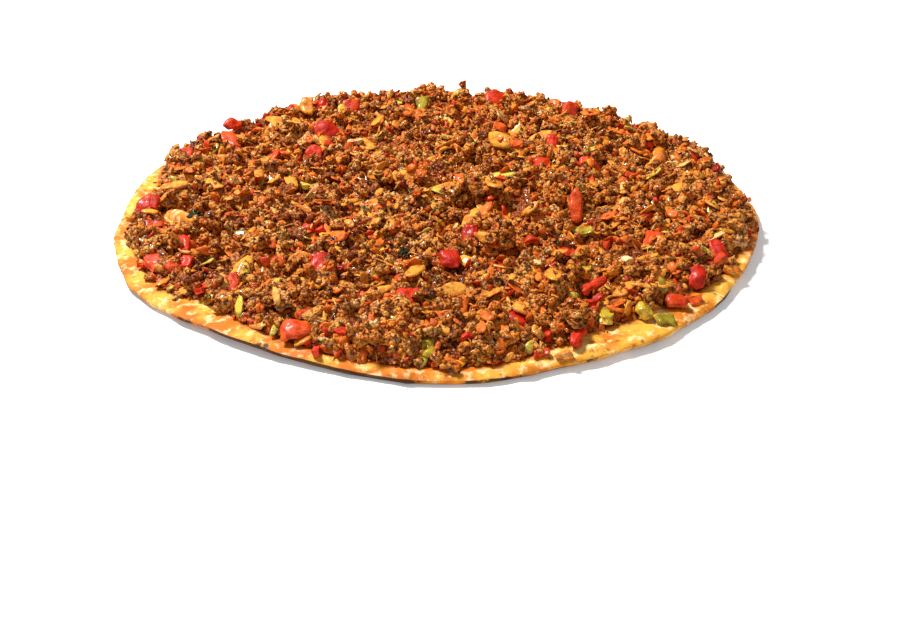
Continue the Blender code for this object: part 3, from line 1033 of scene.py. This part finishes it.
all_chips = search_in([piece.data for piece in chip_pieces.values()])
chip_under = height_grid(all_chips, BELOW)
near_blister = softened(blisters, BLISTER_CLEAR, 1)
covered = np.maximum(softened(np.isfinite(chip_under), CHIP_CLEAR, 1), near_blister)
chip_under = np.where(np.isfinite(chip_under), chip_under, 1.0)
places = points_of(core.data)
places[:, 2] = np.minimum(places[:, 2], read_grid(chip_under, places) + CHIP_GAP)
places[:, 2] -= BLISTER_PRESS * np.minimum(1, 2 * read_grid(near_blister, places))
set_points(core.data, places)
keep_above(core.data)


def mark_surface(mesh):
    """Gives a surface what the scatter reads: where it is clear, high, and far from the edge."""
    spots = points_of(mesh)
    set_values(mesh, "clear", 1 - np.minimum(1, 1.6 * read_grid(covered, spots)))
    tones = np.zeros(len(spots))
    mesh.attributes["tone"].data.foreach_get("value", tones)
    high = np.clip((tones - HOLLOW_TONE) * 6 + 0.5, HOLLOW_CHANCE, 1)
    set_values(mesh, "high", high)
    set_values(mesh, "taper", np.clip((read_grid(wide_mask, spots) - 0.40) / 0.5, 0, 1))


mark_surface(core.data)


# %% [markdown]
# ## Loose crumbs
#
# A crumb is a small lump with a few knobs. A handful of different lumps are made from a
# rounded cube, and Geometry Nodes scatter them: points with a least distance between them,
# one lump on each, turned and sized at random. The biggest lumps go down first, and the
# smaller ones land on the core and on the big ones alike, as in a real pan. Few lie in the
# hollows, and they are smaller near the edge. Every lump keeps a "tone" that its finish turns
# into a colour: mostly a random one, and partly one from a slow noise, so that pale and dark
# crumbs keep together in patches.


# %% Lump shapes
def lump_mesh(name, rng, cuts, knobs, flatness=1.0):
    """A rounded cube pushed in and out by noise, one unit across."""
    shape = bmesh.new()
    bmesh.ops.create_cube(shape, size=2.0)
    bmesh.ops.subdivide_edges(shape, edges=shape.edges[:], cuts=cuts, use_grid_fill=True)
    shift = rng.uniform(0.0, 50.0)
    for vertex in shape.verts:
        ball = vertex.co.normalized()
        bulge = 1.0 + knobs * ripple(ball, 1.7, shift) + 0.6 * knobs * ripple(ball, 3.9, shift)
        vertex.co = ball * bulge * 0.5
        vertex.co.z *= flatness
    return smooth_mesh_from(shape, name)


def nub_mesh(name, rng):
    """The smallest crumb: a lopsided icosahedron."""
    shape = bmesh.new()
    bmesh.ops.create_icosphere(shape, subdivisions=1, radius=0.5)
    for vertex in shape.verts:
        vertex.co *= rng.uniform(0.65, 1.25)
    return smooth_mesh_from(shape, name)


def flake_mesh(name, rng, thickness, curled=1.0):
    """A thin sheet with an uneven outline, one unit long; curled says how much it bends."""
    shape = bmesh.new()
    bmesh.ops.create_cube(shape, size=1.0)
    flat = [edge for edge in shape.edges if abs(edge.verts[0].co.z - edge.verts[1].co.z) < 0.1]
    bmesh.ops.subdivide_edges(shape, edges=flat, cuts=2, use_grid_fill=True)
    shift = rng.uniform(0.0, 50.0)
    curl = rng.uniform(0.1, 0.4) * curled
    for vertex in shape.verts:
        u, v, z = vertex.co
        x, y = u * math.sqrt(1 - 1.9 * v * v), v * math.sqrt(1 - 1.9 * u * u)
        outline = 1.0 + 0.45 * ripple((x, y, 0.0), 1.8, shift)
        height = curl * (x * x - 0.12) + 0.22 * curled * ripple((x, y, 0.0), 2.2, shift + 7)
        vertex.co = Vector((x * outline, 0.62 * y * outline, height + z * thickness))
    return smooth_mesh_from(shape, name)


def shred_mesh(name, rng):
    """A thin curved fibre with four sides, one unit long."""
    parts, sides = 6, 4
    bend = rng.uniform(-0.5, 0.5)
    twist = rng.uniform(-0.25, 0.25)
    shape = bmesh.new()
    rings = []
    for part in range(parts + 1):
        t = part / parts - 0.5
        thick = 0.045 * (1.2 - abs(t) * 1.5)
        middle = Vector((t, bend * (t * t - 0.1), twist * math.sin(5 * t) + 0.1 * (0.25 - t * t)))
        ring = []
        for side in range(sides):
            angle = math.pi / 2 * side
            around = Vector((0, math.cos(angle), math.sin(angle)))
            ring.append(shape.verts.new(middle + around * thick))
        rings.append(ring)
    for first, second in zip(rings, rings[1:]):
        for side in range(sides):
            after = (side + 1) % sides
            shape.faces.new((first[side], second[side], second[after], first[after]))
    shape.faces.new(rings[0])
    shape.faces.new(rings[-1][::-1])
    bmesh.ops.recalc_face_normals(shape, faces=shape.faces)
    return smooth_mesh_from(shape, name)


rng = random.Random(11)


def shape_set(kind, amount, make, *settings):
    """A collection of shapes of a kind, for Geometry Nodes to pick from."""
    collection = bpy.data.collections.new(f"{kind}_shapes")
    for index in range(amount):
        mesh = make(f"{kind}_{index}", rng, *settings)
        collection.objects.link(bpy.data.objects.new(f"{kind}_shapes_{index}", mesh))
    return collection


SHAPES = {
    "clump": shape_set("clump", 8, lump_mesh, 2, 1.1, 0.8),
    "crumb": shape_set("crumb", 10, lump_mesh, 1, 0.8),
    "nub": shape_set("nub", 6, nub_mesh),
    "bit": shape_set("bit", 6, lump_mesh, 1, 0.5, 0.4),
    "flake": shape_set("flake", 8, flake_mesh, 0.09),
    "leaf": shape_set("leaf", 5, flake_mesh, 0.05),
    "sheet": shape_set("sheet", 8, flake_mesh, 0.06, 0.5),
    "shred": shape_set("shred", 8, shred_mesh),
}


# %% The scattering tree
HALF_TURN = 3.1416
PATCH_STEP = 0.06


def scatter_tree(name, collection):
    """A tree that scatters a collection's shapes over a surface."""
    group, tree, given = geometry_tree(
        name,
        {
            "Least distance": 1.5 * MM,
            "Most per square metre": 200000.0,
            "Patches per metre": 60.0,
            "Patch threshold": 0.0,
            "Smallest": 1.5 * MM,
            "Largest": 3.0 * MM,
            "Stretch": 1.4,
            "Lift": 0.3 * MM,
            "Lift spread": 0.5 * MM,
            "Lean": 3.1,
            "Seed": 1,
            "Material": None,
        },
    )

    def chosen(low, high, offset, kind="FLOAT"):
        sockets = {"Min": low, "Max": high, "Seed": given["Seed"] + offset}
        return tree.add("FunctionNodeRandomValue", sockets, data_type=kind)

    def patches(per_metre, offset):
        where = tree.add("GeometryNodeInputPosition")
        sockets = {"Vector": where, "Scale": per_metre, "Detail": 3.0, "W": given["Seed"] + offset}
        return tree.add("ShaderNodeTexNoise", sockets, noise_dimensions="4D")

    limit = given["Patch threshold"]
    clear = named(tree, "clear") * named(tree, "high")
    upward = tree.add("ShaderNodeSeparateXYZ", {0: tree.add("GeometryNodeInputNormal")}).out("Z")
    chance = patches(given["Patches per metre"], 0).above(limit, limit + PATCH_STEP)
    points = tree.add(
        "GeometryNodeDistributePointsOnFaces",
        {
            "Mesh": given["Geometry"],
            "Distance Min": given["Least distance"],
            "Density Max": given["Most per square metre"],
            "Density Factor": chance * clear * upward.above(-0.2, 0.2),
            "Seed": given["Seed"],
        },
        distribute_method="POISSON",
    )
    rise = chosen(-1.0, 1.0, 3) * given["Lift spread"] + given["Lift"]
    along = tree.vector("SCALE", points.out("Normal"), Scale=rise)
    facing = points.out("Rotation")
    points = tree.add("GeometryNodeSetPosition", {"Geometry": points, "Offset": along})
    shapes = tree.add(
        "GeometryNodeCollectionInfo",
        {"Collection": collection, "Separate Children": True, "Reset Children": True},
    )
    lean = {"X": chosen(-1.0, 1.0, 4) * given["Lean"], "Y": chosen(-1.0, 1.0, 5) * given["Lean"]}
    lean = tree.add("ShaderNodeCombineXYZ", lean)
    spin = tree.add("ShaderNodeCombineXYZ", {"Z": chosen(-HALF_TURN, HALF_TURN, 6)})
    turn = facing
    for more in (spin, lean):
        sockets = {"Rotation": turn, "Rotate By": more}
        turn = tree.add("FunctionNodeRotateRotation", sockets, rotation_space="LOCAL")
    size = given["Smallest"] + (given["Largest"] - given["Smallest"]) * chosen(0.0, 1.0, 7) ** 1.5
    size = size * (0.55 + 0.45 * named(tree, "taper"))
    longer = size * (1 + (given["Stretch"] - 1) * chosen(0.0, 1.0, 8))
    scale = {"X": longer, "Y": size, "Z": size * chosen(0.7, 1.1, 9)}
    scale = tree.add("ShaderNodeCombineXYZ", scale)
    placed = tree.add(
        "GeometryNodeInstanceOnPoints",
        {
            "Points": points,
            "Instance": shapes,
            "Pick Instance": True,
            "Instance Index": chosen(0, len(collection.objects) - 1, 10, "INT"),
            "Rotation": turn,
            "Scale": scale,
        },
    )
    tone = chosen(0.0, 1.0, 12) * 0.6 + patches(95.0, 5).above(0.38, 0.62) * 0.4
    close_tree(tree, stored(tree, placed, "INSTANCE", "tone", tone), given["Material"])
    return group


TREES = {name: scatter_tree(f"scatter_{name}", shapes) for name, shapes in SHAPES.items()}
loose = []


def scattered(name, shape_name, surface, finish, slot, values):
    """One piece with all of its scattered shapes, as a plain mesh."""
    piece = new_piece(name, surface.copy(), finish)
    use_tree(piece, TREES[shape_name], {**values, "Material": finish})
    keep_above(piece.data)
    print(name + ":", triangles_of(piece.data), "triangles")
    loose.append((piece, slot))
    return piece


def one_surface(name, pieces):
    """Some pieces as one mesh for the next scatter to land on."""
    shape = bmesh.new()
    for piece in pieces:
        shape.from_mesh(piece.data)
    mesh = mesh_from(shape, name)
    mark_surface(mesh)
    return mesh


def layer(apart, threshold, smallest, largest, lift, spread, seed, **more):
    """The inputs of a scatter, with its lengths in mm."""
    values = {
        "Least distance": apart * MM,
        "Patch threshold": threshold,
        "Smallest": smallest * MM,
        "Largest": largest * MM,
        "Lift": lift * MM,
        "Lift spread": spread * MM,
        "Seed": seed,
    }
    return {**values, **more}


# %% [markdown]
# Each row below is one piece: its name, its shapes, its finish and its numbers. The numbers
# are the least distance between two lumps, the threshold of the patches they keep to, the
# smallest and the largest size, the lift off the surface and its spread, and the seed.
# Lengths are in mm.

# %% Crumbs of mince
MINCE_LAYERS = (
    ("mince_crumbs", "crumb", meat, (3.4, 0.42, 2.0, 5.2, 0.1, 0.4, 23)),
    ("paste_crumbs", "crumb", paste, (3.3, 0.44, 1.8, 4.8, 0.1, 0.4, 37)),
    ("small_crumbs", "nub", meat, (2.4, 0.30, 0.9, 2.1, 0.15, 0.3, 44)),
    ("browned_crumbs", "nub", dark_meat, (3.6, 0.50, 0.9, 2.4, 0.1, 0.4, 51)),
)
LONG = {"Stretch": 1.7, "Lean": 0.7}

clump_numbers = layer(4.9, 0.38, 4.0, 8.2, 0.2, 0.6, 11, **LONG)
clumps = scattered("mince_clumps", "clump", core.data, meat, "spiced_mince", clump_numbers)
rough = one_surface("rough_surface", [core, clumps])
for name, shape_name, finish, numbers in MINCE_LAYERS:
    scattered(name, shape_name, rough, finish, "spiced_mince", layer(*numbers))

# %% [markdown]
# ## Loose vegetables and herbs
#
# Between the crumbs lie soft flakes and wider sheets of onion, green pepper and tomato,
# orange shreds, small bits of red pepper and tomato, and flecks of parsley. They use the same
# tree with other shapes: the thin ones lie along the surface with a little lean, and the
# bits turn freely.

# %% Flakes, sheets, shreds, bits and herbs
ALONG = {"Lean": 0.4, "Stretch": 1.5}
FLAT = {"Lean": 0.2, "Stretch": 1.4}
FREE = {}
LOOSE_LAYERS = (
    ("onion_flakes", "flake", onion_flesh, "onion", (4.9, 0.42, 2.2, 6.0, 0.7, 0.4, 61), ALONG),
    ("onion_sheets", "sheet", onion_flesh, "onion", (9.0, 0.36, 5.0, 12.0, 1.0, 0.4, 65), FLAT),
    ("pepper_sheets", "sheet", green_skin, "green_pepper", (17, 0.0, 5, 10, 1.2, 0.4, 66), FLAT),
    ("tomato_sheets", "sheet", tomato_skin, "tomato", (12.0, 0.36, 4.5, 10.0, 1.1, 0.4, 67), FLAT),
    ("tomato_flakes", "flake", tomato_skin, "tomato", (5.6, 0.42, 2.2, 6.0, 0.6, 0.4, 68), ALONG),
    ("shreds", "shred", shred_finish, "onion", (6.5, 0.40, 3.5, 7.0, 0.5, 0.4, 71), ALONG),
    ("red_bits", "bit", red_skin, "red_pepper", (7.6, 0.42, 2.2, 5.6, 0.8, 0.5, 83), FREE),
    ("orange_bits", "bit", tomato_skin, "tomato", (7.0, 0.42, 2.2, 5.0, 0.8, 0.5, 89), FREE),
    ("parsley_flecks", "leaf", herb, "green_pepper", (8.5, 0.44, 1.0, 2.8, 1.0, 0.4, 97), ALONG),
)

for name, shape_name, finish, slot, numbers, laying in LOOSE_LAYERS:
    scattered(name, shape_name, rough, finish, slot, layer(*numbers, **laying))

# %% [markdown]
# Two larger sprigs of parsley lie on the mince. Leaves are scattered close together over a
# small disc at each place, which is only a guide and is not kept.

# %% Sprigs of parsley
SPRIGS = ((-12, -66), (-100, -38))
SPRIG_RADIUS = 3.0 * MM
SPRIG_RISE = 5.6 * MM
CLOSE = {"Most per square metre": 3000000.0, "Lean": 1.0, "Stretch": 1.3}

shape = bmesh.new()
for x, y in SPRIGS:
    top = first_hit(core_search, x * MM, y * MM).z
    disc = bmesh.ops.create_circle(shape, cap_ends=True, segments=12, radius=SPRIG_RADIUS)
    bmesh.ops.translate(shape, verts=disc["verts"], vec=(x * MM, y * MM, top + SPRIG_RISE))
guide = mesh_from(shape, "sprig_guide")
set_values(guide, "tone", np.ones(len(guide.vertices)))
mark_surface(guide)
sprig_numbers = layer(0.8, 0.0, 1.8, 3.6, 0.3, 1.0, 99, **CLOSE)
scattered("parsley_sprigs", "leaf", guide, herb, "green_pepper", sprig_numbers)


# %% [markdown]
# ## Pieces on the body, and the table
#
# Each piece rides on the only body, and the imported nodes that the bread, the core and the
# chips stand for are hidden. The table below it is part of the stage. It glows more with
# distance, so that it runs into the white sky without a grey band.

# %% Ride and the table
TABLE_REACH = 3.0
NEAR_GLOW, FAR_GLOW = (0.2, 0.2, 0.2, 1.0), (0.8, 0.8, 0.8, 1.0)
GLOW_START, GLOW_END = 0.4, 1.5

MAIN = ((bread, "flatbread", "baked_dough"), (core, "mince_layer", "spiced_mince"))
for piece, node, slot in MAIN:
    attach(piece, ROOT)
    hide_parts(node)
for kind, piece in chip_pieces.items():
    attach(piece, ROOT)
    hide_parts(*sorted(name for name in nodes if name.startswith(kind)))
for piece, slot in loose:
    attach(piece, ROOT)

for collection in SHAPES.values():
    for shape_object in list(collection.objects):
        bpy.data.objects.remove(shape_object)
    bpy.data.collections.remove(collection)

shape = bmesh.new()
bmesh.ops.create_grid(shape, x_segments=1, y_segments=1, size=TABLE_REACH)
table_finish, table_tree, table_shader = finish_tree("white_table")
away = table_tree.vector("LENGTH", object_place(table_tree)).above(GLOW_START, GLOW_END)
sockets = {
    "Base Color": (0.9, 0.9, 0.9, 1.0),
    "Roughness": 0.8,
    "Emission Color": table_tree.blend(away, NEAR_GLOW, FAR_GLOW),
    "Emission Strength": 1.0,
}
table_tree.fill(table_shader, sockets)
table = new_piece("table", mesh_from(shape, "table"), table_finish)

print("loose triangles:", sum(triangles_of(piece.data) for piece, _ in loose))
